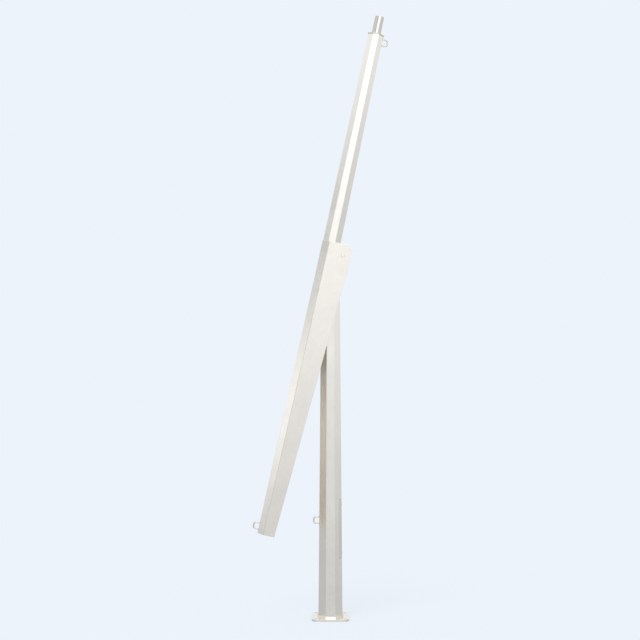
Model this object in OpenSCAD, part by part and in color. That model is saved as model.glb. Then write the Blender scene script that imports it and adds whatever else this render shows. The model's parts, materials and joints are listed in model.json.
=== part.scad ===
// Light pole with a hinge at half height: an eight-sided tapered post on a base plate,
// and a leaning arm whose open channel folds down over the post when the pole stands upright.
// Millimetres. Origin: centre of the underside of the base plate. Z is up, X is the side the arm leans to.

/* [Base] */
// Side of the square base plate
plate_w = 340; // [300:5:500]
// Thickness of the base plate
plate_t = 20; // [12:1:40]
// Corner cut of the base plate
plate_cut = 35; // [5:5:50]
// Distance of an anchor hole from the two near sides of the plate
bolt_edge = 40; // [36:1:60]
// Diameter of an anchor hole
bolt_hole_d = 26; // [14:1:36]
// Diameter of the cable hole in the base plate
cable_hole_d = 120; // [60:5:160]
// Width of the weld round the foot
weld_leg = 10; // [4:1:20]
// Height of the weld round the foot
weld_rise = 12; // [6:1:40]

/* [Post] */
// Size over the flats of the post at its foot
post_foot_af = 220; // [200:1:240]
// Size over the diagonal flats of the post at its foot
post_foot_diag = 217; // [204:1:230]
// Size over the flats of the post at its top
post_top_af = 165; // [150:1:180]
// Size over the diagonal flats of the post at its top
post_top_diag = 160; // [155:1:170]
// Wall of the post
post_wall = 4; // [3:0.5:8]
// Height of the hinge above the ground
pin_z = 3310; // [2800:10:4000]
// Rise of the top of the post above the hinge line
post_over = 20; // [12:1:30]
// Thickness of the plate that closes the post
top_plate_t = 8; // [5:1:12]

/* [Service door] */
// Height of the middle of the door
door_z = 820; // [600:5:1400]
// Height of the door opening
door_h = 545; // [300:5:600]
// Width of the door opening, folded round three faces
door_w = 140; // [120:2:160]
// Corner radius of the door opening
door_r = 22; // [10:1:40]
// Gap round the door
door_gap = 2; // [1.5:0.5:5]
// Thickness of the frame behind the door
frame_t = 5; // [3:1:8]
// Diameter of a door lock
lock_d = 24; // [16:1:34]

/* [Hinge] */
// Diameter of the hinge pin
pin_d = 30; // [20:1:40]
// Wall of the bush round the pin
bush_wall = 5; // [3:0.5:8]
// Wall of the hinge sleeve
sleeve_wall = 7.5; // [5:0.5:14]
// Thickness of the flange of a bush
flange_t = 4; // [2:0.5:8]
// Thickness of a hinge lug
lug_t = 12; // [8:1:14]
// Distance from the middle to a hinge lug
lug_y = 23; // [14:1:25]
// Length of a hinge lug below the pin
lug_drop = 150; // [100:5:220]
// Diameter of the boss inside a cheek
boss_d = 90; // [70:1:110]
// Thickness of the boss inside a cheek
boss_t = 6; // [4:0.5:8]
// Diameter of a pin washer
washer_d = 44; // [42:1:70]
// Thickness of a pin washer
washer_t = 4; // [3:0.5:8]
// Diameter of the collar that keeps the pin
collar_d = 37; // [35:1:41]
// Thickness of the collar that keeps the pin
collar_t = 6; // [4:0.5:10]

/* [Arm] */
// Lean of the arm from upright, in degrees
lean = 12; // [0:1:60]
// Size over the flats of the arm shaft at its lower end
shaft_low_af = 162.5; // [150:0.5:170]
// Size over the diagonal flats of the arm shaft at its lower end
shaft_low_diag = 159; // [150:0.5:164]
// Size over the flats of the arm shaft at its top
shaft_top_af = 135; // [120:0.5:145]
// Size over the diagonal flats of the arm shaft at its top
shaft_top_diag = 130; // [122:0.5:142]
// Wall of the arm shaft
shaft_wall = 4; // [3:0.5:8]
// Height of the top of the arm shaft above the hinge, along the arm
shaft_top_z = 2036; // [1500:10:2600]
// Size over the flats of the cap plate
cap_af = 149; // [140:1:180]
// Thickness of the cap plate
cap_t = 7; // [5:1:12]
// Diameter of the lamp spigot
spigot_d = 82.5; // [60:0.1:108]
// Wall of the lamp spigot
spigot_wall = 3.6; // [2.5:0.1:6]
// Length of the lamp spigot
spigot_h = 165; // [80:5:250]

/* [Channel] */
// Skin of the channel
skin = 5; // [3:0.5:8]
// Length of the channel below the hinge
channel_down = 2630; // [2200:5:2700]
// Length of the channel above the hinge
channel_up = 102; // [98:1:140]
// Gap behind the post at the hinge
back_gap_top = 10.5; // [8:0.5:20]
// Gap behind the post at the lower end
back_gap_low = 14; // [8:0.5:20]
// Gap beside the post at the hinge
side_gap_top = 11.5; // [10:0.5:20]
// Gap beside the post at the lower end
side_gap_low = 7.5; // [6:0.5:20]
// Width of a folded corner of the channel at the hinge, along one side
facet_top = 64.5; // [50:0.5:66]
// Width of a folded corner of the channel at the lower end, along one side
facet_low = 55.5; // [45:0.5:66]
// Reach of the cheeks in front of the pin
cheek_reach = 77.5; // [60:0.5:100]
// Width of a cheek at its lower end
cheek_low_w = 102.5; // [60:0.5:130]
// Corner cut of a cheek at the top
cheek_cut = 38; // [20:1:50]
// Thickness of the floor and collar plates
floor_t = 8; // [5:1:12]
// Height of the floor plate above the hinge
floor_z = 60; // [58:1:70]

/* [Rings] */
// Rod of the rope rings
rod_d = 14; // [8:0.5:16]
// Length of a ring along the face
ring_span = 72; // [60:1:84]
// Reach of a ring from the face
ring_reach = 57; // [48:1:64]
// Radius of the bends of a ring, at the middle of the rod
ring_bend = 20; // [12:1:28]
// Height of the ring on the post above the end of the closed channel
post_ring_up = 216; // [160:1:400]
// Distance of the lower arm ring from the end of the channel
arm_ring_up = 57; // [44:1:90]
// Distance of the top ring from the top of the shaft
top_ring_down = 54; // [44:1:120]
// Width of the slot for the post ring
slot_w = 32; // [28:1:40]
// Height of the slot for the post ring
slot_h = 106; // [98:1:130]

/* [Hidden] */
fit = 0.05;
vent_d = 50;
weld_lip = 0.6;
bolt_pitch = plate_w - 2 * bolt_edge;
post_ring_z = pin_z - channel_down + post_ring_up;
big = 600;
post_top_z = pin_z + post_over;
shaft_len = post_top_z - top_plate_t - plate_t;
function along(foot, top, z) = foot + (top - foot) * (z - plate_t) / (post_top_z - plate_t);
function post_af(z) = along(post_foot_af, post_top_af, z);
function post_diag(z) = along(post_foot_diag, post_top_diag, z);
bush_d = pin_d + 2 * bush_wall;
sleeve_d = bush_d + 2 * sleeve_wall;
pin_x = post_af(pin_z) / 2 + sleeve_d / 2 + 0.5;
low_af = post_af(pin_z - channel_down);
back_pin = pin_x + post_af(pin_z) / 2 + back_gap_top + skin;
back_low = pin_x + low_af / 2 + back_gap_low + skin;
half_pin = post_af(pin_z) / 2 + side_gap_top + skin;
half_low = low_af / 2 + side_gap_low + skin;
function back_at(z) = back_pin - (back_low - back_pin) * z / channel_down;
function half_at(z) = half_pin - (half_low - half_pin) * z / channel_down;
function facet_at(z) = facet_top - (facet_low - facet_top) * z / channel_down;
function seam_at(z) = facet_at(z) - back_at(z);
function diag_at(z) = (back_at(z) + half_at(z) - facet_at(z)) / sqrt(2);
shaft_z = floor_z + floor_t;
shaft_run = shaft_top_z - shaft_z;
function shaft_af(z) = shaft_low_af + (shaft_top_af - shaft_low_af) * (z - shaft_z) / shaft_run;
function shaft_diag(z) = shaft_low_diag + (shaft_top_diag - shaft_low_diag) * (z - shaft_z) / shaft_run;
shaft_to_back = shaft_af(channel_up) / 2 - (back_at(channel_up) - skin);
shaft_to_fold = (shaft_diag(channel_up) / 2 - (diag_at(channel_up) - skin)) * sqrt(2);
shaft_x = max(shaft_to_back, shaft_to_fold);
plate_edge = shaft_x + shaft_low_af / 2 + 15;
sleeve_half = half_pin - skin - boss_t - 2 - flange_t;
edge_low = facet_low + cheek_low_w - back_low;
boss_in = half_pin - skin - boss_t;
washer_out = half_pin + washer_t;
collar_out = washer_out + collar_t;

// A wedge that stands on its broad end: the space between two leaning planes.
module slab(low, high, h, turn) {
  rotate([0, 0, turn])
    rotate([90, 0, 0])
      linear_extrude(height = 2 * low, center = true)
        polygon([[-low / 2, 0], [low / 2, 0], [high / 2, h], [-high / 2, h]]);
}

// Eight-sided taper: four wedges crossed at 45 degrees, each pair with its own sizes over the flats.
module octagon_taper(low, high, low_diag, high_diag, h) {
  intersection() {
    slab(low, high, h, 0);
    slab(low_diag, high_diag, h, 45);
    slab(low, high, h, 90);
    slab(low_diag, high_diag, h, 135);
  }
}

// The body of the post between two heights, drawn in by an inset.
module post_part(inset, z0, z1) {
  translate([0, 0, z0])
    octagon_taper(post_af(z0) - 2 * inset, post_af(z1) - 2 * inset,
      post_diag(z0) - 2 * inset, post_diag(z1) - 2 * inset, z1 - z0);
}

// The whole body of the post, a little longer at both ends when asked.
module post_block(inset, more) {
  post_part(inset, plate_t - more, plate_t + shaft_len + more);
}

// The body of the arm shaft between two heights above the hinge, drawn in by an inset.
module shaft_part(inset, z0, z1) {
  translate([shaft_x, 0, z0])
    octagon_taper(shaft_af(z0) - 2 * inset, shaft_af(z1) - 2 * inset,
      shaft_diag(z0) - 2 * inset, shaft_diag(z1) - 2 * inset, z1 - z0);
}

module rounded_rect(w, h, r) {
  square([w - 2 * r, h], center = true);
  square([w, h - 2 * r], center = true);
  for (sx = [-1, 1])
    for (sy = [-1, 1])
      translate([sx * (w / 2 - r), sy * (h / 2 - r)])
        circle(r = r, $fn = 48);
}

// A bar through the +X wall of the post with the outline of the door.
module door_bar(grow) {
  translate([0, 0, door_z])
    rotate([90, 0, 90])
      linear_extrude(height = post_foot_af)
        rounded_rect(door_w + 2 * grow, door_h + 2 * grow, door_r + grow);
}

// Rope ring: two legs square to a face, a bend on each and a straight between, in the XZ plane.
module rod_ring() {
  mean = (ring_span - rod_d) / 2;
  leg = ring_reach - rod_d / 2 - ring_bend;
  flat = mean - ring_bend;
  for (s = [-1, 1]) {
    translate([-1.5, 0, s * mean])
      rotate([0, 90, 0])
        cylinder(d = rod_d, h = leg + 1.5, $fn = 32);
    translate([leg, 0, s * flat])
      rotate([90, 0, 0])
        rotate([0, 0, s < 0 ? -90 : 0])
          rotate_extrude(angle = 90, $fn = 64)
            translate([ring_bend, 0])
              circle(d = rod_d, $fn = 32);
  }
  translate([leg + ring_bend, 0, -flat])
    cylinder(d = rod_d, h = 2 * flat, $fn = 32);
}

// A rod along Y with both ends given.
module y_rod(d, y0, y1) {
  translate([0, y1, 0])
    rotate([90, 0, 0])
      cylinder(d = d, h = y1 - y0, $fn = 64);
}

module y_tube(d, bore, y0, y1) {
  difference() {
    y_rod(d, y0, y1);
    y_rod(bore, y0 - 1, y1 + 1);
  }
}

// The arm frame: origin on the hinge line, Z along the arm, X to the open side of the channel.
module in_arm() {
  translate([pin_x, 0, pin_z])
    rotate([0, lean, 0])
      children();
}

module at_pin() {
  translate([pin_x, 0, pin_z])
    children();
}

// Everything in front of a leaning plane that turns about the arm's Z.
module half_space(d0, d1, z0, z1, turn) {
  rotate([0, 0, turn])
    rotate([90, 0, 0])
      linear_extrude(height = 2 * big, center = true)
        polygon([[-d0, z0], [big, z0], [big, z1], [-d1, z1]]);
}

// The solid the channel is folded round, drawn in by an inset.
module channel_block(inset, z0, z1) {
  intersection() {
    half_space(back_at(z0) - inset, back_at(z1) - inset, z0, z1, 0);
    half_space(diag_at(z0) - inset, diag_at(z1) - inset, z0, z1, 45);
    half_space(diag_at(z0) - inset, diag_at(z1) - inset, z0, z1, -45);
    half_space(half_at(z0) - inset, half_at(z1) - inset, z0, z1, 90);
    half_space(half_at(z0) - inset, half_at(z1) - inset, z0, z1, -90);
  }
}

module channel_skin() {
  difference() {
    channel_block(0, -channel_down, channel_up);
    channel_block(skin, -channel_down - 1, channel_up + 1);
  }
}

module base_plate() {
  w = plate_w / 2;
  c = w - plate_cut;
  color("#b9b6ae")
    difference() {
      linear_extrude(height = plate_t)
        polygon([[-w, -c], [-c, -w], [c, -w], [w, -c], [w, c], [c, w], [-c, w], [-w, c]]);
      translate([0, 0, -1])
        cylinder(d = cable_hole_d, h = plate_t + 2, $fn = 64);
      for (sx = [-1, 1])
        for (sy = [-1, 1])
          translate([sx * bolt_pitch / 2, sy * bolt_pitch / 2, -1])
            cylinder(d = bolt_hole_d, h = plate_t + 2, $fn = 48);
    }
}

module base_weld() {
  color("#c9c7c0")
    difference() {
      translate([0, 0, plate_t])
        octagon_taper(post_foot_af + 2 * weld_leg, post_af(plate_t + weld_rise) + weld_lip,
          post_foot_diag + 2 * weld_leg, post_diag(plate_t + weld_rise) + weld_lip, weld_rise);
      post_block(0, 1);
    }
}

module post_shaft() {
  color("#c8c5bc")
    difference() {
      post_block(0, 0);
      post_block(post_wall, 1);
      door_bar(0);
    }
}

module post_top_plate() {
  z = plate_t + shaft_len;
  color("#b9b6ae")
    difference() {
      post_part(0, z, post_top_z);
      translate([0, 0, z - 1])
        cylinder(d = vent_d, h = top_plate_t + 2, $fn = 48);
    }
}

module door_frame() {
  color("#a9a69e")
    difference() {
      intersection() {
        post_block(post_wall, 0);
        door_bar(14);
      }
      post_block(post_wall + frame_t, 1);
      door_bar(-16);
    }
}

module door_cover() {
  color("#c4c1b8")
    intersection() {
      difference() {
        post_block(0, 0);
        post_block(post_wall, 1);
      }
      door_bar(-door_gap);
    }
}

module door_lock(z) {
  color("#8f8c86")
    difference() {
      translate([post_af(z) / 2 - 1, 0, z])
        rotate([0, 90, 0])
          cylinder(d = lock_d, h = 4, $fn = 48);
      post_block(0, 0);
    }
}

module door_lock_upper() {
  door_lock(door_z + door_h / 2 - 52);
}

module door_lock_lower() {
  door_lock(door_z - door_h / 2 + 52);
}

module post_ring() {
  color("#b4b1aa")
    difference() {
      translate([-post_af(post_ring_z) / 2, 0, post_ring_z])
        mirror([1, 0, 0])
          rod_ring();
      post_block(0, 0);
    }
}

module hinge_sleeve() {
  color("#a9a69e")
    at_pin()
      y_tube(sleeve_d, bush_d, -sleeve_half, sleeve_half);
}

// A lug: an eye round the sleeve and a gusset down the face of the post.
module hinge_lug(y) {
  wall_x = post_af(pin_z - lug_drop) / 2 - pin_x;
  eye = sleeve_d / 2 + 11;
  color("#b4b1aa")
    at_pin()
      difference() {
        union() {
          y_rod(2 * eye, y - lug_t / 2, y + lug_t / 2);
          translate([0, y + lug_t / 2, 0])
            rotate([90, 0, 0])
              linear_extrude(height = lug_t)
                polygon([[wall_x - 2, eye * 0.5], [0, eye * 0.9], [eye * 0.75, -eye * 0.6],
                  [wall_x + 12, -lug_drop], [wall_x - 2, -lug_drop]]);
        }
        y_rod(sleeve_d, y - lug_t, y + lug_t);
        translate([-pin_x, 0, -pin_z])
          post_block(0, 60);
      }
}

module hinge_lug_front() {
  hinge_lug(-lug_y);
}

module hinge_lug_rear() {
  hinge_lug(lug_y);
}

// A flanged bush with a running fit on the pin.
module hinge_bush_front() {
  color("#b08d4f")
    at_pin()
      difference() {
        union() {
          y_rod(bush_d, -sleeve_half, -sleeve_half + 45);
          y_rod(sleeve_d - 2, -sleeve_half - flange_t, -sleeve_half);
        }
        y_rod(pin_d + 2 * fit, -sleeve_half - flange_t - 1, -sleeve_half + 46);
      }
}

module hinge_bush_rear() {
  mirror([0, 1, 0])
    hinge_bush_front();
}

module arm_back() {
  z0 = -channel_down;
  z1 = channel_up;
  color("#cfccc4")
    in_arm()
      difference() {
        intersection() {
          channel_skin();
          rotate([90, 0, 0])
            linear_extrude(height = 2 * big, center = true)
              polygon([[-big, z0 - 1], [seam_at(z0 - 1), z0 - 1], [seam_at(z1 + 1), z1 + 1], [-big, z1 + 1]]);
        }
        translate([-back_low - 20, 0, post_ring_z - pin_z])
          rotate([90, 0, 90])
            linear_extrude(height = 60)
              rounded_rect(slot_w, slot_h, slot_w / 2 - 0.01);
      }
}

module arm_cheek_front() {
  z0 = -channel_down;
  z1 = channel_up;
  color("#d6d3cb")
    in_arm()
      difference() {
        intersection() {
          channel_skin();
          rotate([90, 0, 0])
            linear_extrude(height = big)
              polygon([[seam_at(z0), z0], [edge_low, z0], [cheek_reach, 0],
                [cheek_reach, z1 - cheek_cut], [cheek_reach - cheek_cut, z1], [seam_at(z1), z1]]);
        }
        y_rod(pin_d + 2 * fit, -big, 0);
      }
}

module arm_cheek_rear() {
  mirror([0, 1, 0])
    arm_cheek_front();
}

// A plate across the channel, from the back to a little in front of the shaft.
module cross_plate(z) {
  intersection() {
    channel_block(skin, z, z + floor_t);
    translate([plate_edge - big, -big, z - 1])
      cube([big, 2 * big, floor_t + 2]);
  }
}

module arm_floor() {
  color("#b4b1aa")
    in_arm()
      difference() {
        cross_plate(floor_z);
        translate([shaft_x, 0, floor_z - 1])
          cylinder(d = vent_d, h = floor_t + 2, $fn = 48);
      }
}

module arm_collar() {
  z = channel_up - floor_t - 2;
  color("#b4b1aa")
    in_arm()
      difference() {
        cross_plate(z);
        shaft_part(0, shaft_z, shaft_top_z);
        translate([-back_pin, -shaft_low_af * 0.2, z - 1])
          cube([skin + 4, shaft_low_af * 0.4, floor_t + 2]);
      }
}

module pin_boss_front() {
  color("#b4b1aa")
    in_arm()
      intersection() {
        y_tube(boss_d, pin_d + 2 * fit, -boss_in - boss_t - 2, -boss_in);
        channel_block(skin, -boss_d, channel_up);
      }
}

module pin_boss_rear() {
  mirror([0, 1, 0])
    pin_boss_front();
}

module hinge_pin() {
  color("#9a9892")
    in_arm()
      y_rod(pin_d, -collar_out - 3, collar_out + 3);
}

module pin_washer_front() {
  color("#d0cec8")
    in_arm()
      difference() {
        y_tube(washer_d, pin_d + 2 * fit, -washer_out, -half_pin + 2);
        channel_block(0, -washer_d, channel_up);
      }
}

module pin_washer_rear() {
  mirror([0, 1, 0])
    pin_washer_front();
}

module pin_collar_front() {
  color("#c2c0ba")
    in_arm()
      y_tube(collar_d, pin_d + 2 * fit, -collar_out, -washer_out);
}

module pin_collar_rear() {
  mirror([0, 1, 0])
    pin_collar_front();
}

module arm_shaft() {
  color("#d3d0c8")
    in_arm()
      difference() {
        shaft_part(0, shaft_z, shaft_top_z);
        shaft_part(shaft_wall, shaft_z - 1, shaft_top_z + 1);
      }
}

module arm_cap() {
  color("#b9b6ae")
    in_arm()
      translate([shaft_x, 0, shaft_top_z])
        difference() {
          rotate([0, 0, 22.5])
            cylinder(r = cap_af / 2 / cos(22.5), h = cap_t, $fn = 8);
          translate([0, 0, -1])
            cylinder(d = spigot_d - 2 * spigot_wall, h = cap_t + 2, $fn = 64);
        }
}

module lamp_spigot() {
  color("#aeb0b2")
    in_arm()
      translate([shaft_x, 0, shaft_top_z + cap_t])
        difference() {
          cylinder(d = spigot_d, h = spigot_h, $fn = 64);
          translate([0, 0, -1])
            cylinder(d = spigot_d - 2 * spigot_wall, h = spigot_h + 2, $fn = 64);
        }
}

module arm_ring() {
  z = arm_ring_up - channel_down;
  color("#b4b1aa")
    in_arm()
      difference() {
        translate([-back_at(z), 0, z])
          mirror([1, 0, 0])
            rod_ring();
        channel_block(0, -channel_down, channel_up);
      }
}

module arm_top_ring() {
  z = shaft_top_z - top_ring_down;
  color("#b4b1aa")
    in_arm()
      difference() {
        translate([shaft_x + shaft_af(z) / 2, 0, z])
          rod_ring();
        shaft_part(0, shaft_z, shaft_top_z);
      }
}

base_plate();
base_weld();
post_shaft();
post_top_plate();
door_frame();
door_cover();
door_lock_upper();
door_lock_lower();
post_ring();
hinge_sleeve();
hinge_lug_front();
hinge_lug_rear();
hinge_bush_front();
hinge_bush_rear();
arm_back();
arm_cheek_front();
arm_cheek_rear();
arm_floor();
arm_collar();
pin_boss_front();
pin_boss_rear();
hinge_pin();
pin_washer_front();
pin_washer_rear();
pin_collar_front();
pin_collar_rear();
arm_shaft();
arm_cap();
lamp_spigot();
arm_ring();
arm_top_ring();
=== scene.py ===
# %% [markdown]
# # A light pole that folds at half height
# The pole has two halves. The lower one is a fixed, eight-sided post on a base plate. The upper one is an
# arm on a pin: a closed eight-sided shaft above the pin, and below it an open channel that closes over the
# post like a sleeve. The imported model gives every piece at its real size. This lesson gives the pieces
# eased edges, welds and finishes, and then sets up a plain studio.

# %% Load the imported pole
import json
import math

import bmesh
import bpy
import numpy as np
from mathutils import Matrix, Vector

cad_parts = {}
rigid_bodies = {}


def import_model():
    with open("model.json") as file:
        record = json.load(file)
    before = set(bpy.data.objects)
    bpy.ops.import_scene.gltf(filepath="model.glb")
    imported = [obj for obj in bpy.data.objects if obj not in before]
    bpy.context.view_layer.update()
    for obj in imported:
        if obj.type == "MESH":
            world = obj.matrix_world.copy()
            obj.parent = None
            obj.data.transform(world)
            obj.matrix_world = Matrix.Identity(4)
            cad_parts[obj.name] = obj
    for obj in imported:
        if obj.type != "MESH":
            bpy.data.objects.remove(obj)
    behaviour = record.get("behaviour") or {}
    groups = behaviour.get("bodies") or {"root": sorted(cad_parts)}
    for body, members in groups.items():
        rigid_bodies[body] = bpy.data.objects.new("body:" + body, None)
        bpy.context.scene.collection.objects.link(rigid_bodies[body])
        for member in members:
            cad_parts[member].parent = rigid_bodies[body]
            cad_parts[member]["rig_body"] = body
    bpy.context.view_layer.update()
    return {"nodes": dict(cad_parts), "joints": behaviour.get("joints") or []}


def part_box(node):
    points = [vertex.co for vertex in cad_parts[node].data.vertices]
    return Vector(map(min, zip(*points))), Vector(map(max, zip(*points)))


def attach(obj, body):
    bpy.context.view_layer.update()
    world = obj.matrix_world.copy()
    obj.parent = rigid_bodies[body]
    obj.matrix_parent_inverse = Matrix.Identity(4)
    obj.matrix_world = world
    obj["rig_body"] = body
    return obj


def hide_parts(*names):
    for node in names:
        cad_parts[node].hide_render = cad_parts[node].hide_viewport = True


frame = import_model()

# %% [markdown]
# The arm leans, so its welds and patterns need the arm's own axes. The hinge gives the place of the pin,
# and the corners of the shaft give its line. Apart from the lean of 12 degrees, nothing here repeats a size
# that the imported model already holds.

# %% Find the pin and the arm's own axes
hinge = frame["joints"][0]
pin = np.array(hinge["pos_m"], float)
lean = math.radians(12)
arm_up = np.array([math.sin(lean), 0, math.cos(lean)])
arm_out = np.array([math.cos(lean), 0, -math.sin(lean)])
across = np.array([0.0, 1.0, 0.0])


def arm_point(out, side, up):
    """A place given in the arm's axes, from the pin: out to the open side, side to the rear, up along the
    arm."""
    out, side, up = np.broadcast_arrays(np.asarray(out, float), side, up)
    return pin + out[..., None] * arm_out + side[..., None] * across + up[..., None] * arm_up


def in_arm(points):
    """The same the other way round: places in the world, read as (out, side, up) from the pin."""
    away = np.asarray(points) - pin
    return np.stack([away @ arm_out, away @ across, away @ arm_up], -1)


def corners_of(node):
    """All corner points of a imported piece."""
    mesh = frame["nodes"][node].data
    points = np.empty(len(mesh.vertices) * 3)
    mesh.vertices.foreach_get("co", points)
    return points.reshape(-1, 3)


shaft = in_arm(corners_of("arm_shaft"))
shaft_line = (shaft[:, 0].min() + shaft[:, 0].max()) / 2
print("pin at", pin, "lean", round(math.degrees(lean), 1), "degrees, line of shaft", round(shaft_line, 4))

# %% [markdown]
# ## Finishes
# The pole is pale satin steel. It could be one flat grey with some gloss, but real zinc-coated plate is
# never even: it has soft clouds from the bath, a fine crystal grain, faint streaks along the rolling
# direction, and a surface that is not quite flat. One function builds that finish from noise on the
# object's own coordinates, and each piece gets its own tone, gloss and grain from it. A finish is a small
# network of nodes, and so is the studio further on, so the first cell holds what both of them need.

# %% Helpers for networks of nodes
def feed(tree, node, inputs):
    """Give each named or numbered socket of a node its plain value, or the output that drives it."""
    for socket, value in inputs.items():
        if isinstance(value, bpy.types.NodeSocket):
            tree.links.new(value, node.inputs[socket])
        else:
            node.inputs[socket].default_value = value
    return node


def calc(tree, operation, *values):
    """One step of arithmetic on numbers and outputs."""
    node = tree.nodes.new("ShaderNodeMath")
    node.operation = operation
    return feed(tree, node, dict(enumerate(values))).outputs[0]


def scaled(tree, colour, amount):
    """A colour times a number."""
    node = tree.nodes.new("ShaderNodeVectorMath")
    node.operation = "SCALE"
    return feed(tree, node, {0: colour, "Scale": amount}).outputs["Vector"]


def eased_step(tree, value, low, high, before=0.0, after=1.0):
    """A smooth step: before where the value is low, after where it is high, and an S-shaped rise between
    them."""
    node = tree.nodes.new("ShaderNodeMapRange")
    node.interpolation_type = "SMOOTHSTEP"
    sockets = {"Value": value, "From Min": low, "From Max": high, "To Min": before, "To Max": after}
    return feed(tree, node, sockets).outputs["Result"]


def either(tree, share, first, second):
    """Two shaders mixed: the first where the share is 0, the second where it is 1."""
    node = tree.nodes.new("ShaderNodeMixShader")
    return feed(tree, node, {"Fac": share, 1: first, 2: second}).outputs["Shader"]


print("node helpers:", [helper.__name__ for helper in (feed, calc, scaled, eased_step, either)])

# %% [markdown]
# The noises differ in how many features fit into a metre: a few clouds, but hundreds of grains of grit. The
# other numbers say how far the gloss follows the clouds and the crystals, how deep the grit is in metres,
# and how far the edge of a tinted foot wanders up and down.

# %% A finish for zinc-coated steel
CLOUDS_TO_METRE, WAVES_TO_METRE, BANDS_TO_METRE = 5.0, 7.0, 14.0
FOOT_EDGE_TO_METRE, STREAKS_TO_METRE, GRIT_TO_METRE = 40.0, 60.0, 900.0
CLOUD_GLOSS, CRYSTAL_GLOSS = 0.12, 0.04
GRIT_DEPTH = 0.00002
FOOT_WANDER = 0.012


def finish(name, colour, gloss=0.15, clouds=0.05, grain=0.02, streaks=0.02, crystal=55.0, uneven=0.0004,
           turn=(0, 0, 0), metal=1.0, bands=0.0, foot=None):
    """Satin metal: colour = tone * (1 + clouds * low noise + grain * cells + streaks * stretched noise +
    bands * noise that changes along the piece only); roughness follows the same noises, and the bump adds a
    slow waviness and a fine grit. A foot tints the lowest stretch: (height where it starts to fade, height
    where it has gone, colour)."""
    material = bpy.data.materials.new(name)
    material.use_nodes = True
    tree = material.node_tree
    shader = tree.nodes["Principled BSDF"]
    place = tree.nodes.new("ShaderNodeTexCoord").outputs["Object"]
    mapping = feed(tree, tree.nodes.new("ShaderNodeMapping"), {"Vector": place, "Rotation": turn})
    aligned = mapping.outputs["Vector"]

    def noise(scale, detail, stretch=(1, 1, 1)):
        """Smooth noise with about scale features to a metre. A small stretch number draws them out."""
        spread = feed(tree, tree.nodes.new("ShaderNodeMapping"), {"Vector": aligned, "Scale": stretch})
        texture = feed(tree, tree.nodes.new("ShaderNodeTexNoise"),
                       {"Vector": spread.outputs["Vector"], "Scale": scale, "Detail": detail})
        return texture.outputs["Fac"]

    cloud = noise(CLOUDS_TO_METRE, 3.0)
    streak = noise(STREAKS_TO_METRE, 2.0, (1, 1, 0.02))
    cells = feed(tree, tree.nodes.new("ShaderNodeTexVoronoi"), {"Vector": aligned, "Scale": crystal})
    parts = feed(tree, tree.nodes.new("ShaderNodeSeparateColor"), {"Color": cells.outputs["Color"]})
    cell = parts.outputs["Red"]

    tone = calc(tree, "MULTIPLY_ADD", cloud, clouds * 2, 1 - clouds)
    tone = calc(tree, "MULTIPLY_ADD", cell, grain, tone)
    tone = calc(tree, "MULTIPLY_ADD", streak, streaks * 2, tone)
    tone = calc(tree, "SUBTRACT", tone, grain / 2 + streaks)
    if bands:
        band = noise(BANDS_TO_METRE, 2.0, (0.03, 0.03, 1))
        tone = calc(tree, "MULTIPLY_ADD", band, bands * 2, calc(tree, "SUBTRACT", tone, bands))
    shown = scaled(tree, colour, tone)
    # A foot: a darker, warmer tone towards the bottom of a piece. On the inside of the channel it is part of
    # the painted shade and painted reflection there.
    if foot:
        fades, gone, foot_tone = foot
        axes = feed(tree, tree.nodes.new("ShaderNodeSeparateXYZ"), {"Vector": place})
        wander = calc(tree, "MULTIPLY_ADD", noise(FOOT_EDGE_TO_METRE, 2.0), FOOT_WANDER, axes.outputs["Z"])
        foot_mix = tree.nodes.new("ShaderNodeMix")
        foot_mix.data_type = "RGBA"
        feed(tree, foot_mix, {"Factor": eased_step(tree, wander, gone, fades), "A": shown, "B": (*foot_tone, 1)})
        shown = foot_mix.outputs["Result"]

    rough = calc(tree, "MULTIPLY_ADD", cloud, CLOUD_GLOSS, gloss - CLOUD_GLOSS / 2)
    rough = calc(tree, "MULTIPLY_ADD", cell, CRYSTAL_GLOSS, rough)
    height = calc(tree, "MULTIPLY", noise(WAVES_TO_METRE, 1.0), uneven)
    height = calc(tree, "MULTIPLY_ADD", noise(GRIT_TO_METRE, 2.0), GRIT_DEPTH, height)
    bump = feed(tree, tree.nodes.new("ShaderNodeBump"),
                {"Height": height, "Strength": 1.0, "Distance": 1.0})
    feed(tree, shader, {"Metallic": metal, "Base Color": shown, "Roughness": rough,
                        "Normal": bump.outputs["Normal"]})
    return material


along_arm = (0, -lean, 0)
post_steel = finish("satin zinc, post", (0.83, 0.81, 0.77), foot=(0.044, 0.056, (0.81, 0.775, 0.715)))
door_steel = finish("satin zinc, door", (0.75, 0.73, 0.69))
plate_steel = finish("satin zinc, cut plate", (0.82, 0.80, 0.76), gloss=0.3)
# The top of the base plate: the plate's zinc made brighter and warmer, as painted light falling from above.
plate_top_painted_light = finish("zinc, top of the base plate, painted warm top light", (0.97, 0.88, 0.735), gloss=0.2)
# The cap: dull zinc, darker than the plate as painted shade along its edge.
cap_painted_shade = finish("dull zinc, cap, with painted shade", (0.68, 0.645, 0.585), gloss=0.5)
channel_steel = finish("satin zinc, folded channel", (0.833, 0.81, 0.765), turn=along_arm, bands=0.02)
# The inside of the channel: painted fill light, lighter than the outside, with a foot that makes it darker
# and warmer below as painted shade and reflection.
inside_painted_light = finish("dull zinc, inside, painted light", (1.0, 0.96, 0.91), gloss=0.6, turn=along_arm, metal=0.6,
                     foot=(0.8, 1.75, (0.82, 0.76, 0.67)))
arm_steel = finish("satin zinc, arm shaft", (0.86, 0.84, 0.80), turn=along_arm)
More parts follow.
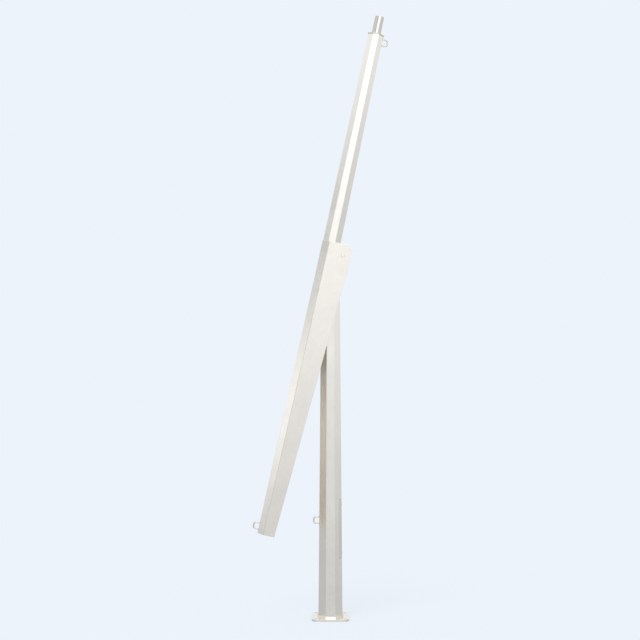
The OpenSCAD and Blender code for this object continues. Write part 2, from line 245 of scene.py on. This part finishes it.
# The frame behind the door's gap: painted nearly black, as shade in the gap.
frame_painted_shade = finish("zinc behind the door, painted dark as the gap's shade", (0.24, 0.24, 0.23), gloss=0.7, metal=0.1)
weld_steel = finish("zinc over weld", (0.72, 0.695, 0.65), gloss=0.3, uneven=0.0)
spigot_steel = finish("drawn tube", (0.59, 0.57, 0.535), gloss=0.11, turn=along_arm, uneven=0.0001)
bore_steel = finish("dull zinc in the tube", (0.66, 0.63, 0.59), gloss=0.7, turn=along_arm, metal=0.1)
fitting_steel = finish("zinc on small fittings", (0.68, 0.655, 0.615), gloss=0.4)
washer_steel = finish("zinc on washers", (0.87, 0.845, 0.80), gloss=0.35)
pin_steel = finish("bright turned pin", (0.86, 0.84, 0.79), gloss=0.2, clouds=0.02, uneven=0.0)
bronze = finish("bearing bronze", (0.68, 0.50, 0.24), gloss=0.3, clouds=0.06)
lock_steel = finish("door lock steel", (0.50, 0.50, 0.49), gloss=0.35)
print("finishes:", len(bpy.data.materials))

# %% [markdown]
# ## Eased edges
# A plate has no knife edges: a fold is round, and a cut edge is broken by the grinder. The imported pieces
# are sharp solids, so each visible one is copied, its triangles are merged back into flat faces, and a
# Bevel modifier rounds the folds widely and the cut edges a little. Two weights on the edges tell the
# modifier which is which.

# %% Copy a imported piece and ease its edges
def inside(centre, normal):
    """True where a face looks at the line of the shaft."""
    out, side, _ = in_arm(centre)
    aim = (shaft_line - out) * arm_out - side * across
    return np.dot(aim, normal) > 0.5 * np.linalg.norm(aim)


def topside(centre, normal):
    """True where a face looks up."""
    return normal[2] > 0.9


SHARP, SHARPEST_FOLD = 30, 60
FOLD_LENGTH, FOLD_FACE = 0.3, 0.012


def eased(node, material, fold=0.0, edge=0.0012, second=None, where=None):
    """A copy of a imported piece. Edges that turn 30 to 60 degrees, longer than FOLD_LENGTH and between faces
    wider than FOLD_FACE, are folds, other sharp ones are cut edges. The weight of an edge is its own width
    over the widest one, which is the width of the modifier. The faces for which where() is true take the
    second finish."""
    source = frame["nodes"][node]
    triangles = np.empty(len(source.data.loops), int)
    source.data.loops.foreach_get("vertex_index", triangles)
    mesh = bpy.data.meshes.new(node + "_eased")
    mesh.from_pydata(corners_of(node), [], triangles.reshape(-1, 3).tolist())
    shape = bmesh.new()
    shape.from_mesh(mesh)
    bmesh.ops.remove_doubles(shape, verts=shape.verts, dist=1e-6)
    bmesh.ops.dissolve_limit(shape, angle_limit=math.radians(0.1), verts=shape.verts, edges=shape.edges)
    widest = max(fold, edge)
    weight = shape.edges.layers.float.new("bevel_weight_edge")
    for side in shape.edges:
        if len(side.link_faces) != 2:
            continue
        angle, length = math.degrees(side.calc_face_angle()), side.calc_length()
        wide = min(face.calc_area() for face in side.link_faces) / length > FOLD_FACE
        if SHARP < angle < SHARPEST_FOLD and fold and length > FOLD_LENGTH and wide:
            side[weight] = fold / widest
        elif angle >= SHARP:
            side[weight] = edge / widest
    for face in shape.faces:
        face.smooth = True
        if where and where(face.calc_center_median(), face.normal):
            face.material_index = 1
    shape.to_mesh(mesh)
    shape.free()
    mesh.materials.append(material)
    if second:
        mesh.materials.append(second)
    piece = bpy.data.objects.new(node + "_eased", mesh)
    bpy.context.scene.collection.objects.link(piece)
    bevel = piece.modifiers.new("eased edges", "BEVEL")
    bevel.limit_method = "WEIGHT"
    bevel.width = widest
    bevel.segments = 3
    bevel.use_clamp_overlap = False
    bevel.loop_slide = False
    bevel.harden_normals = True
    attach(piece, source["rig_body"])
    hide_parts(node)


eased("post_shaft", post_steel, fold=0.003, edge=0.0012)
eased("door_cover", door_steel, fold=0.003, edge=0.0012)
# The top faces of the base plate take the painted top light.
eased("base_plate", plate_steel, edge=0.0015, second=plate_top_painted_light, where=topside)
eased("post_top_plate", plate_steel, edge=0.0015)
# Faces that look at the shaft's line take the painted light of the inside.
for node in ("arm_back", "arm_cheek_front", "arm_cheek_rear"):
    eased(node, channel_steel, fold=0.003, edge=0.0008, second=inside_painted_light, where=inside)
eased("arm_shaft", arm_steel, fold=0.002, edge=0.0008)
# The cap takes its painted shade.
eased("arm_cap", cap_painted_shade, fold=0.0012, edge=0.0012)

# %% [markdown]
# ## Surfaces from a formula
# Welds, turned parts and bent rods are easiest to describe as a grid of points: one parameter runs along
# the piece and the other round its section. One function turns such a grid into a mesh. It closes the
# section, joins the grid's ends where the piece closes on itself, merges the points that fall together at a
# tip, turns all faces outwards, and marks the sharp corners.

# %% Turn a grid of points into a piece
def surface(name, points, material, body, ring=False, stands_for=()):
    """Quads over a grid of points (along, across, 3). The last column joins the first, and in a ring the
    last row joins the first too. Rows that shrink to one point become tips."""
    along, around = points.shape[:2]
    i, j = np.meshgrid(np.arange(along if ring else along - 1), np.arange(around), indexing="ij")
    down, right = (i + 1) % along, (j + 1) % around
    quads = np.stack([i * around + j, down * around + j, down * around + right, i * around + right], -1)
    mesh = bpy.data.meshes.new(name)
    mesh.from_pydata(points.reshape(-1, 3), [], quads.reshape(-1, 4).tolist())
    shape = bmesh.new()
    shape.from_mesh(mesh)
    bmesh.ops.remove_doubles(shape, verts=shape.verts, dist=1e-6)
    bmesh.ops.dissolve_degenerate(shape, edges=shape.edges, dist=1e-7)
    bmesh.ops.recalc_face_normals(shape, faces=shape.faces)
    shape.to_mesh(mesh)
    shape.free()
    mesh.shade_smooth()
    mesh.set_sharp_from_angle(angle=math.radians(40))
    mesh.materials.append(material)
    piece = bpy.data.objects.new(name, mesh)
    bpy.context.scene.collection.objects.link(piece)
    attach(piece, body)
    if stands_for:
        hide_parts(*stands_for)
    return piece


def unit(vectors):
    """Vectors brought to length one."""
    return vectors / np.linalg.norm(vectors, axis=-1, keepdims=True)


print("length of a unit vector:", round(float(np.linalg.norm(unit(arm_up + arm_out))), 6))

# %% [markdown]
# ## Weld beads
# The fixed joints of the pole are welds: round the foot, under the cap, round the spigot, at the legs of
# the rings and along the two seams of the channel. A fillet could be a plain triangle in section, but a
# real bead is a little full, and it carries the small crescents that the molten pool leaves as it moves on.
# So the bead's height is a parabola across it, times a wave along it whose crest lags behind at both toes.

# %% A weld bead along a line
def evenly(line, step, ring):
    """Points at an even step along a broken line, how far along it they lie, and how far its corners lie."""
    line = np.vstack([line, line[:1]]) if ring else line
    reach = np.concatenate([[0], np.cumsum(np.linalg.norm(np.diff(line, axis=0), axis=1))])
    count = max(int(reach[-1] / step), 8)
    at = np.linspace(0, reach[-1], count, endpoint=not ring)
    return np.stack([np.interp(at, reach, line[:, k]) for k in range(3)], -1), at, reach


LAG, HIDDEN_ROOT, RUN_OUT = 0.3, 0.35, 1.2


def bead(name, line, side_a, side_b, legs, body, ring=False, outer=False, rise=0.25, pitch=0.0045, wave=0.2,
         crest=None, stands_for=()):
    """A bead in the corner between two faces. Across it, t runs from the toe on face a (0) to the toe on
    face b (1): point = corner + leg_a * a * (1 - t) + leg_b * b * t + crest * height(t). On an outer corner
    the chord bends round the corner instead. With bow = (2t - 1)^2 and s the way along the line, height =
    rise * leg * (1 - bow) * (1 + wave * cos(2 pi (s / pitch + LAG * bow))). One more point closes the
    section inside the corner, and a bead with ends runs out there over RUN_OUT legs."""
    line, at, reach = evenly(np.asarray(line, float), pitch / 4, ring)

    def carried(side):
        """One direction, or one for each corner of the line, at every point along it."""
        side = np.atleast_2d(np.asarray(side, float))
        if len(side) == 1:
            return np.repeat(unit(side), len(line), axis=0)
        side = np.vstack([side, side[:1]]) if ring else side
        return unit(np.stack([np.interp(at, reach, side[:, k]) for k in range(3)], -1))

    a, b = carried(side_a), carried(side_b)
    up = carried(crest) if crest is not None else unit(a + b) * (-1 if outer else 1)
    t = np.linspace(0, 1, 8)
    share_a = np.maximum(1 - 2 * t, 0) if outer else 1 - t
    share_b = np.maximum(2 * t - 1, 0) if outer else t
    bow = (2 * t - 1) ** 2
    crescents = 1 + wave * np.cos(2 * math.pi * (at[:, None] / pitch + LAG * bow))
    height = rise * min(legs) * (1 - bow) * crescents
    across_it = (legs[0] * share_a[:, None] * a[:, None] + legs[1] * share_b[:, None] * b[:, None]
                 + height[..., None] * up[:, None])
    hidden = -HIDDEN_ROOT * min(legs) * up[:, None]
    section = np.concatenate([across_it, hidden], axis=1)
    if not ring:
        run = np.minimum(at, at[-1] - at) / (RUN_OUT * max(legs))
        section = section * np.sqrt(np.clip(run, 0, 1))[:, None, None]
    surface(name, line[:, None] + section, weld_steel, body, ring=ring, stands_for=stands_for)


CORNER_BAND = 0.004


def octagon_at(node, where, tell):
    """The eight outer corners of a shaft at one of its ends, in order round it, and their middle. tell
    gives each corner's height. The corners of the inner wall lie further in than CORNER_BAND."""
    points = corners_of(node)
    ends = points[np.abs(tell(points) - where) < 1e-4]
    middle = ends.mean(axis=0)
    far = np.linalg.norm(ends - middle, axis=1)
    ends = np.unique(ends[far > far.max() - CORNER_BAND].round(6), axis=0)
    away = ends - middle
    turn = np.arctan2(away @ across, away @ arm_out)
    return ends[np.argsort(turn)], middle


foot, middle = octagon_at("post_shaft", corners_of("post_shaft")[:, 2].min(), lambda points: points[:, 2])
weld_low, weld_high = map(np.array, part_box("base_weld"))
legs = ((weld_high[0] - weld_low[0]) / 2 - foot[:, 0].max(), weld_high[2] - weld_low[2])
bead("foot_weld", foot, foot - middle, (0, 0, 1), legs, "post", ring=True, rise=0.2, wave=0.12,
     stands_for=("base_weld",))
print("foot: corners", len(foot), "legs", [round(1000 * leg, 1) for leg in legs], "mm")

# %% [markdown]
# The shaft of the arm has a bead under the cap and one where it leaves the channel. Both are eight-sided
# rings.

# %% Weld the shaft to its cap and to the channel
top, middle = octagon_at("arm_shaft", shaft[:, 2].max(), lambda points: in_arm(points)[:, 2])
bead("cap_weld", top, top - middle, -arm_up, (0.004, 0.004), "arm", ring=True)
collar_top = in_arm(corners_of("arm_collar"))[:, 2].max()
low, _ = octagon_at("arm_shaft", shaft[:, 2].min(), lambda points: in_arm(points)[:, 2])
rise_share = (collar_top - shaft[:, 2].min()) / np.ptp(shaft[:, 2])
at_collar = low + (top - low) * rise_share
bead("collar_weld", at_collar, at_collar - at_collar.mean(axis=0), arm_up, (0.003, 0.004), "arm", ring=True)
print("cap:", len(top), "corners, collar:", len(low), "corners")

# %% [markdown]
# The channel is three plates: a folded back and two flat cheeks. The seams run down the two outer corners.
# On an outer corner a bead is a low cap that just covers the joint. The post and the shaft are folded from
# one plate each, so each has one straight seam, ground almost flush, in the middle of its rear face. The
# post's seam starts just above the foot weld.

# %% Weld the long seams
for name, hand in (("front", -1), ("rear", 1)):
    cheek = in_arm(corners_of("arm_cheek_" + name))
    ends = []
    for up in (cheek[:, 2].max(), cheek[:, 2].min()):
        there = cheek[np.abs(cheek[:, 2] - up) < 1e-4]
        outside = there[np.abs(there[:, 1]) > np.abs(there[:, 1]).max() - 1e-4]
        ends.append(outside[np.argmin(outside[:, 0])])
    seam = arm_point(*np.array(ends).T)
    bead("channel_seam_" + name, seam, arm_out, unit(-arm_out - hand * across), (0.003, 0.003), "arm",
         outer=True, pitch=0.005, wave=0.08)
    print(name, "seam", round(float(np.linalg.norm(seam[1] - seam[0])), 3), "m")


def rear_seam(name, low, high, body):
    """A seam in the middle of the rear face, from the rear corners of both ends."""
    line = np.array([end[np.argsort(end[:, 1])[-2:]].mean(axis=0) for end in (low, high)])
    bead(name, line, arm_out, -arm_out, (0.003, 0.003), body, crest=(0, 1, 0), pitch=0.004)


head, _ = octagon_at("post_shaft", corners_of("post_shaft")[:, 2].max(), lambda points: points[:, 2])
foot, _ = octagon_at("post_shaft", corners_of("post_shaft")[:, 2].min(), lambda points: points[:, 2])
weld_share = 0.006
rear_seam("post_seam", foot + (head - foot) * weld_share, head, "post")
rear_seam("shaft_seam", at_collar, top, "arm")

# %% [markdown]
# The hinge lugs stand on the post with a fillet along each side. Their foot is the straight edge that lies
# on the post's face.

# %% Weld the hinge lugs
for name in ("front", "rear"):
    lug = corners_of("hinge_lug_" + name)
    low_y, high_y = lug[:, 1].min(), lug[:, 1].max()
    seat = lug[lug[:, 2] < lug[:, 2].min() + 1e-4]
    low_end = seat[np.argmin(seat[:, 0])]
    upper = lug[lug[:, 2] > pin[2]]
    high_end = upper[np.argmin(upper[:, 0])]
    for side, y, away in (("a", low_y, -1), ("b", high_y, 1)):
        line = np.array([(low_end[0], y, low_end[2]), (high_end[0], y, high_end[2])])
        bead("lug_weld_" + name + "_" + side, line, (1, 0, 0), (0, away, 0), (0.005, 0.005), "post")
print("lug welds from", low_end.round(3), "to", high_end.round(3))

# %% [markdown]
# ## Turned parts
# The spigot, the pin, its washers and its collars come off a lathe or are cut from tube. A turned part is
# one profile carried round an axis, so a short list of radius and distance says it all, with a small
# chamfer at each corner.

# %% Carry a profile round an axis
def spokes(axis, steps):
    """Directions square to an axis, all the way round it: u cos turn + v sin turn."""
    u = unit(np.cross(axis, (0.3, 0.5, 0.8)))
    v = np.cross(axis, u)
    turn = np.linspace(0, 2 * math.pi, steps, endpoint=False)[:, None]
    return np.cos(turn) * u + np.sin(turn) * v


def turned(name, start, axis, profile, material, body, stands_for=(), tube=False, steps=72):
    """Surface of revolution: point = start + axis * along + radius * (u cos turn + v sin turn), for each
    (radius, along) of the profile. A tube's profile closes on itself."""
    axis = unit(np.asarray(axis, float))
    radius, along = np.asarray(profile, float).T
    points = start + along[:, None, None] * axis + radius[:, None, None] * spokes(axis, steps)
    return surface(name, points, material, body, ring=tube, stands_for=stands_for)


def ring_profile(bore, outer, low, high, chamfer):
    """A ring's section, with a chamfer at each of its four corners."""
    return [(bore, low + chamfer), (bore + chamfer, low),
            (outer - chamfer, low), (outer, low + chamfer),
            (outer, high - chamfer), (outer - chamfer, high),
            (bore + chamfer, high), (bore, high - chamfer)]


tube_points = in_arm(corners_of("lamp_spigot"))
tube_low, tube_high = tube_points[:, 2].min(), tube_points[:, 2].max()
tube_radius = np.ptp(tube_points[:, 1]) / 2
reach = np.hypot(tube_points[:, 0] - shaft_line, tube_points[:, 1])
tube = turned("spigot_tube", arm_point(shaft_line, 0, tube_low), arm_up,
              ring_profile(reach.min(), tube_radius, 0, tube_high - tube_low, 0.0012), spigot_steel, "arm",
              stands_for=("lamp_spigot",), tube=True, steps=96)
middles = np.empty((len(tube.data.polygons), 3), np.float32)
tube.data.polygons.foreach_get("center", middles.ravel())
middles = in_arm(middles)
bore_edge = reach.min() + 0.0005
in_bore = np.hypot(middles[:, 0] - shaft_line, middles[:, 1]) < bore_edge
tube.data.materials.append(bore_steel)
tube.data.polygons.foreach_set("material_index", in_bore.astype(np.int32))
print("spigot", round(2000 * tube_radius, 1), "mm across,", round(1000 * (tube_high - tube_low)), "mm long")

# %% [markdown]
# The spigot stands on the cap in a round fillet, and each of the two bosses stands on the inside of its
# cheek in the same way.

# %% Weld the spigot and the bosses
def round_weld(name, centre, axis, radius, leg, body):
    """A fillet round a tube that stands on a face. The axis points up the tube."""
    axis = unit(np.asarray(axis, float))
    spoke = spokes(axis, 48)
    bead(name, centre + radius * spoke, spoke, axis, (leg, leg), body, ring=True, pitch=min(0.0045, leg))


clear = 0.0001
round_weld("spigot_weld", arm_point(shaft_line, 0, tube_low), arm_up, tube_radius, 0.005, "arm")
for name, hand in (("front", -1), ("rear", 1)):
    low, high = map(np.array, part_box("pin_boss_" + name))
    face = (low if hand < 0 else high) * (0, 1, 0) - hand * across * clear
    radius = (high[0] - low[0]) / 2
    round_weld("boss_weld_" + name, pin * (1, 0, 1) + face, (0, -hand, 0), radius, 0.004, "arm")
print("boss", round(1000 * (high[0] - low[0])), "mm across")

# %% [markdown]
# The edges of the pin are broken, and each end has the small centre hole of the lathe. A washer and a
# collar keep it on each side.

# %% Turn the pin, its washers and its collars
low, high = map(np.array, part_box("hinge_pin"))
pin_radius, pin_half = (high[2] - low[2]) / 2, high[1]
broken, hole_radius, hole_depth = 0.0025, 0.0025, 0.004
half_profile = np.array([(0, pin_half - hole_depth), (hole_radius, pin_half),
                         (pin_radius - broken, pin_half), (pin_radius, pin_half - broken)])
profile = np.vstack([half_profile * (1, -1), half_profile[::-1]])
turned("pin_turned", pin, (0, 1, 0), profile, pin_steel, "arm", stands_for=("hinge_pin",))
slack = 0.00005
for part, chamfer in (("washer", 0.0008), ("collar", 0.0015)):
    for name in ("front", "rear"):
        node = "pin_" + part + "_" + name
        low, high = map(np.array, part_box(node))
        section = ring_profile(pin_radius + slack, (high[2] - low[2]) / 2, low[1], high[1], chamfer)
        turned(node + "_turned", pin, (0, 1, 0), section, washer_steel, "arm",
               stands_for=(node,), tube=True)
print("pin", round(2000 * pin_radius), "mm thick,", round(2000 * pin_half), "mm long")

# %% [markdown]
# ## Bent rings
# The three rope rings are bent from one round rod: a leg square to the face, a bend, a short straight, a
# bend and the second leg. A circle carried along that path makes the ring, and each leg gets its small
# round weld.

# %% Bend the rope rings
def rope_ring(node, seat, out, up, body):
    """A circle of rod carried along a path: point = path + rod / 2 * (normal * cos(angle) + across *
    sin(angle)), with the normal square to the path at each of its points, so the rod keeps its thickness
    through the bends. The path is (out, up) from the seat, and its first and last points are the tips."""
    points = corners_of(node) - seat
    rod = np.ptp(points[:, 1])
    span, reach = np.ptp(points @ up), (points @ out).max()
    bend, root, half = 0.020, 0.001, (span - rod) / 2
    turn = np.linspace(0, math.pi / 2, 12)
    leg = reach - rod / 2 - bend
    quarter = np.stack([leg + bend * np.sin(turn), half - bend + bend * np.cos(turn)], -1)
    path = np.vstack([[(-root, half)], quarter, quarter[::-1] * (1, -1), [(-root, -half)]])
    aim = unit(np.gradient(path, axis=0))
    normal = np.stack([aim[:, 1], -aim[:, 0]], -1)
    angle = np.linspace(0, 2 * math.pi, 20, endpoint=False)
    flat = path[:, None] + rod / 2 * np.cos(angle)[None, :, None] * normal[:, None]
    grid = (seat + flat[..., :1] * out + flat[..., 1:] * up
            + (rod / 2 * np.sin(angle))[None, :, None] * across)
    tips = [np.tile(seat + path[k, 0] * out + path[k, 1] * up, (1, len(angle), 1)) for k in (0, -1)]
    surface(node + "_bent", np.concatenate([tips[0], grid, tips[1]]), fitting_steel, body,
            stands_for=(node,))
    for name, hand in (("upper", 1), ("lower", -1)):
        round_weld(node + "_weld_" + name, seat + hand * half * up, out, rod / 2, 0.003, body)
    print(node, "rod, span and reach", [round(1000 * size) for size in (rod, span, reach)], "mm")


HAIR = 0.0002


def seat_of(node, out, up):
    """The middle of a ring's seat: a hair outside the lowest reach of its legs, half way along its span."""
    points = corners_of(node)
    reach, span = points @ out, points @ up
    return out * (reach.min() + HAIR) + up * (span.min() + span.max()) / 2


world_up, west = np.array([0.0, 0, 1]), np.array([-1.0, 0, 0])
rope_ring("post_ring", seat_of("post_ring", west, world_up), west, world_up, "post")
rope_ring("arm_ring", seat_of("arm_ring", -arm_out, arm_up), -arm_out, arm_up, "arm")
rope_ring("arm_top_ring", seat_of("arm_top_ring", arm_out, arm_up), arm_out, arm_up, "arm")

# %% [markdown]
# ## Door locks
# Each end of the service door has a round lock with a three-sided spindle at the bottom of a well, for a
# plain triangular key. A disc of points with a height for each radius and direction gives the rim, the well
# and the spindle.

# %% Model the door locks
DISC_EDGE, RIM_CHAMFER = 0.003, 0.0008
WELL_DEPTH, SPINDLE_HEIGHT = 0.0035, 0.0028


def lock(node):
    """Height over the disc: the rim is chamfered, the well drops from 0.64 to 0.60 of the radius, and the
    spindle rises where the radius is under the triangle's own radius, r(turn) = 0.17 / cos(turn in the
    third - 60 degrees)."""
    low, high = map(np.array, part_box(node))
    radius, face = (high[2] - low[2]) / 2, high[0]
    middle = (low + high) / 2
    r = np.array([1, 1, 0.94, 0.66, 0.62, 0.60, 0.45, 0.36, 0.33, 0.30, 0.26, 0.22, 0.19, 0.16, 0.08, 0])
    r = r[:, None]
    turn = np.linspace(0, 2 * math.pi, 72, endpoint=False)[None]
    side = 0.17 / np.cos(((turn - math.pi / 2) % (2 * math.pi / 3)) - math.pi / 3)
    sunk = np.clip((0.64 - r) / 0.04, 0, 1) * WELL_DEPTH
    raised = np.clip((side - r) / 0.03 + 0.5, 0, 1) * SPINDLE_HEIGHT
    rim = np.array([DISC_EDGE, RIM_CHAMFER] + [0] * (len(r) - 2))
    height = face - sunk + raised - rim[:, None]
    points = np.stack(np.broadcast_arrays(height, middle[1] + radius * r * np.cos(turn),
                                          middle[2] + radius * r * np.sin(turn)), -1)
    centre = np.broadcast_to(np.array([face - DISC_EDGE, middle[1], middle[2]]), points[:1].shape)
    surface(node + "_turned", np.concatenate([centre, points]), lock_steel, "post",
            stands_for=(node,))
    print(node, "disc", round(2000 * radius), "mm")


for node in ("door_lock_upper", "door_lock_lower"):
    lock(node)

# %% [markdown]
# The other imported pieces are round, cut square or hidden inside, so they keep their own meshes and only
# take a finish.

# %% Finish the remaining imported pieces
plain = {
    # The door frame is painted dark as the shade in the door's gap.
    "door_frame": frame_painted_shade, "hinge_sleeve": fitting_steel,
    "hinge_lug_front": plate_steel, "hinge_lug_rear": plate_steel,
    "hinge_bush_front": bronze, "hinge_bush_rear": bronze,
    "arm_floor": plate_steel, "arm_collar": plate_steel,
    "pin_boss_front": plate_steel, "pin_boss_rear": plate_steel}
for node, material in plain.items():
    piece = frame["nodes"][node]
    piece.data.materials.clear()
    piece.data.materials.append(material)
print("finished packed pieces:", len(plain))

# %% [markdown]
# ## The studio
# Satin metal has no colour of its own to show: the tone of each face is that part of the room that it
# mirrors. So the room is built as four walls, each with a tone that changes with height, and a soft box
# high in front, hung square to the leaning arm. The wall behind the pole is the pale backdrop itself, for
# the camera as for the metal. Matt things, such as the floor, get plain white light instead.

# %% Give each wall of the room its tone
def ramp(tree, height, stops):
    """A value that follows height, from -1 straight down to 1 straight up, through the (height, value)
    stops."""
    spread = feed(tree, tree.nodes.new("ShaderNodeMapRange"),
                  {"Value": height, "From Min": -1, "From Max": 1})
    band = feed(tree, tree.nodes.new("ShaderNodeValToRGB"), {"Fac": spread.outputs["Result"]})
    elements = band.color_ramp.elements
    while len(elements) < len(stops):
        elements.new(0.5)
    for element, (at, value) in zip(elements, stops):
        element.position = (at + 1) / 2
        element.color = (value, value, value, 1)
    return band.outputs["Color"]


BACKDROP = (0.840, 0.896, 0.965)
WALL_LIGHT = 1.4
ROOM_LIGHT = 0.95
world = bpy.data.worlds.new("pale studio")
bpy.context.scene.world = world
world.use_nodes = True
room = world.node_tree
room.nodes.clear()
aim = room.nodes.new("ShaderNodeTexCoord").outputs["Generated"]
axes = feed(room, room.nodes.new("ShaderNodeSeparateXYZ"), {"Vector": aim})
east, north, height = (axes.outputs[axis] for axis in "XYZ")
front, left = calc(room, "MULTIPLY", north, -1.0), calc(room, "MULTIPLY", east, -1.0)
level = calc(room, "MAXIMUM", calc(room, "SUBTRACT", 1.0, calc(room, "MULTIPLY", height, height)), 0.001)


def share_of(reach):
    """How much of a direction belongs to one wall: its reach towards the wall, squared, over the square of
    its level part. The shares of four walls add up to one."""
    return calc(room, "DIVIDE", calc(room, "POWER", calc(room, "MAXIMUM", reach, 0.0), 2.0), level)


walls = {
    "front": (front, [
        (-1, 0.80), (-0.4, 0.50), (-0.25, 0.48), (-0.19, 0.51), (-0.1, 0.585), (-0.043, 0.655),
        (0.014, 0.73), (0.041, 0.76), (0.08, 0.775), (0.11, 0.82), (0.14, 0.865), (0.19, 0.85),
        (0.22, 0.72), (0.5, 0.75), (1, 0.9)]),
    "right": (east, [
        (-1, 0.80), (-0.4, 0.43), (-0.2, 0.445), (-0.135, 0.505), (-0.1, 0.54), (-0.068, 0.565),
        (-0.036, 0.625), (0, 0.69), (0.3, 0.66), (0.7, 0.6), (1, 0.9)]),
    "left": (left, [
        (-1, 0.80), (-0.3, 0.44), (-0.15, 0.44), (0.075, 0.45), (0.165, 0.975), (0.24, 0.50), (0.285, 0.44),
        (0.33, 0.573), (0.39, 0.725), (1, 0.9)])}
tones = 0.0
for reach, stops in walls.values():
    tones = calc(room, "ADD", calc(room, "MULTIPLY", share_of(reach), ramp(room, height, stops)), tones)
behind = share_of(north)
print("walls:", list(walls), "and the backdrop behind")

# %% [markdown]
# The soft box hangs in front, turned a few degrees to the open side. Its sides fade over a range of shares,
# and its lower edge over a small range of heights, measured square to the leaning arm.

# %% Hang the soft box
BOX_LIGHT = 0.8
BOX_EAST, BOX_FRONT = 0.16, 0.987
BOX_SIDES = (0.72, 0.94)
BOX_LOWER_EDGE = (0.185, 0.212)
towards_box = calc(room, "MULTIPLY_ADD", east, BOX_EAST, calc(room, "MULTIPLY", front, BOX_FRONT))
square_to_arm = calc(room, "MULTIPLY_ADD", east, math.sin(lean), height)
box = calc(room, "MULTIPLY", eased_step(room, share_of(towards_box), *BOX_SIDES),
           eased_step(room, square_to_arm, *BOX_LOWER_EDGE))
tones = calc(room, "MULTIPLY_ADD", box, BOX_LIGHT, tones)
print("soft box", round(math.degrees(math.atan2(BOX_EAST, BOX_FRONT))), "degrees to the open side")

# %% [markdown]
# The camera sees the backdrop flat, as a wide paper roll would look. Metal and glass see the walls, with
# that same backdrop behind the pole.

# %% Hang the walls in the world
def light(tree, colour):
    """Plain light of one colour, or of the colour that an output gives."""
    return feed(tree, tree.nodes.new("ShaderNodeBackground"), {"Color": colour}).outputs["Background"]


mirrored = feed(room, room.nodes.new("ShaderNodeVectorMath"),
                {0: scaled(room, (WALL_LIGHT,) * 3, tones), 1: scaled(room, BACKDROP, behind)})
ray = room.nodes.new("ShaderNodeLightPath").outputs
sees = calc(room, "MAXIMUM", ray["Is Camera Ray"],
            calc(room, "MAXIMUM", ray["Is Glossy Ray"], ray["Is Transmission Ray"]))
shown = either(room, ray["Is Camera Ray"], light(room, mirrored.outputs["Vector"]),
               light(room, (*BACKDROP, 1)))
hung = either(room, sees, light(room, (ROOM_LIGHT, ROOM_LIGHT, ROOM_LIGHT, 1)), shown)
feed(room, room.nodes.new("ShaderNodeOutputWorld"), {"Surface": hung})
print("backdrop", BACKDROP)

# %% [markdown]
# A soft key light from above gives the floor its faint shadow.

# %% Hang the key light
sun = bpy.data.lights.new("soft key", "SUN")
sun.energy = 0.8
sun.angle = math.radians(35)
key = bpy.data.objects.new("soft key", sun)
key.rotation_euler = (math.radians(35), math.radians(-25), 0)
key.visible_glossy = False
bpy.context.scene.collection.objects.link(key)
print("light from", [round(math.degrees(a)) for a in key.rotation_euler])

# %% [markdown]
# The floor is one wide sheet. It shows the backdrop's own tone, so floor and wall read as one. Near the
# pole a share of it is a plain matt surface that takes the shadow, and that share fades out a few metres
# away. The matt part is as pale as the light needs it to be: tone = backdrop / (room light + key light *
# the cosine of its slope / pi).

# %% Lay the floor
HALF, BELOW = 400, 0.0005
MATT_NEAR, MATT_FAR, MATT_SHARE = 0.8, 4.0, 0.25
sheet = bpy.data.meshes.new("floor")
corners = [(HALF * x, HALF * y, -BELOW) for x, y in ((-1, -1), (1, -1), (1, 1), (-1, 1))]
sheet.from_pydata(corners, [], [(0, 1, 2, 3)])
floor = bpy.data.objects.new("floor", sheet)
bpy.context.scene.collection.objects.link(floor)
floor.visible_glossy = False
slope = key.rotation_euler.to_matrix()[2][2]
met = ROOM_LIGHT + sun.energy * slope / math.pi
matt_tone = [tone / met for tone in BACKDROP]
pale = bpy.data.materials.new("pale floor")
pale.use_nodes = True
tree = pale.node_tree
tree.nodes.clear()
matt = feed(tree, tree.nodes.new("ShaderNodeBsdfDiffuse"), {"Color": (*matt_tone, 1)})
glow = feed(tree, tree.nodes.new("ShaderNodeEmission"), {"Color": (*BACKDROP, 1), "Strength": 1.0})
away = tree.nodes.new("ShaderNodeVectorMath")
away.operation = "LENGTH"
feed(tree, away, {0: tree.nodes.new("ShaderNodeTexCoord").outputs["Object"]})
fade = eased_step(tree, away.outputs["Value"], MATT_NEAR, MATT_FAR, MATT_SHARE, 0.0)
laid = either(tree, fade, glow.outputs["Emission"], matt.outputs["BSDF"])
feed(tree, tree.nodes.new("ShaderNodeOutputMaterial"), {"Surface": laid})
sheet.materials.append(pale)
print("the matt part of the floor has the tone", [round(tone, 3) for tone in matt_tone])

# %% [markdown]
# The camera stands 12.8 m in front at 2.7 m height, level, with a long lens, so the pole shows with almost
# no narrowing.

# %% Set up the camera
lens = bpy.data.cameras.new("camera")
lens.sensor_width = 36
lens.lens = 78.75
camera = bpy.data.objects.new("camera", lens)
camera.location = (-0.0955, -12.8, 2.724)
camera.rotation_euler = (math.radians(90), 0, 0)
bpy.context.scene.collection.objects.link(camera)
bpy.context.scene.camera = camera

# %% Colours as written
bpy.context.scene.view_settings.view_transform = "Standard"
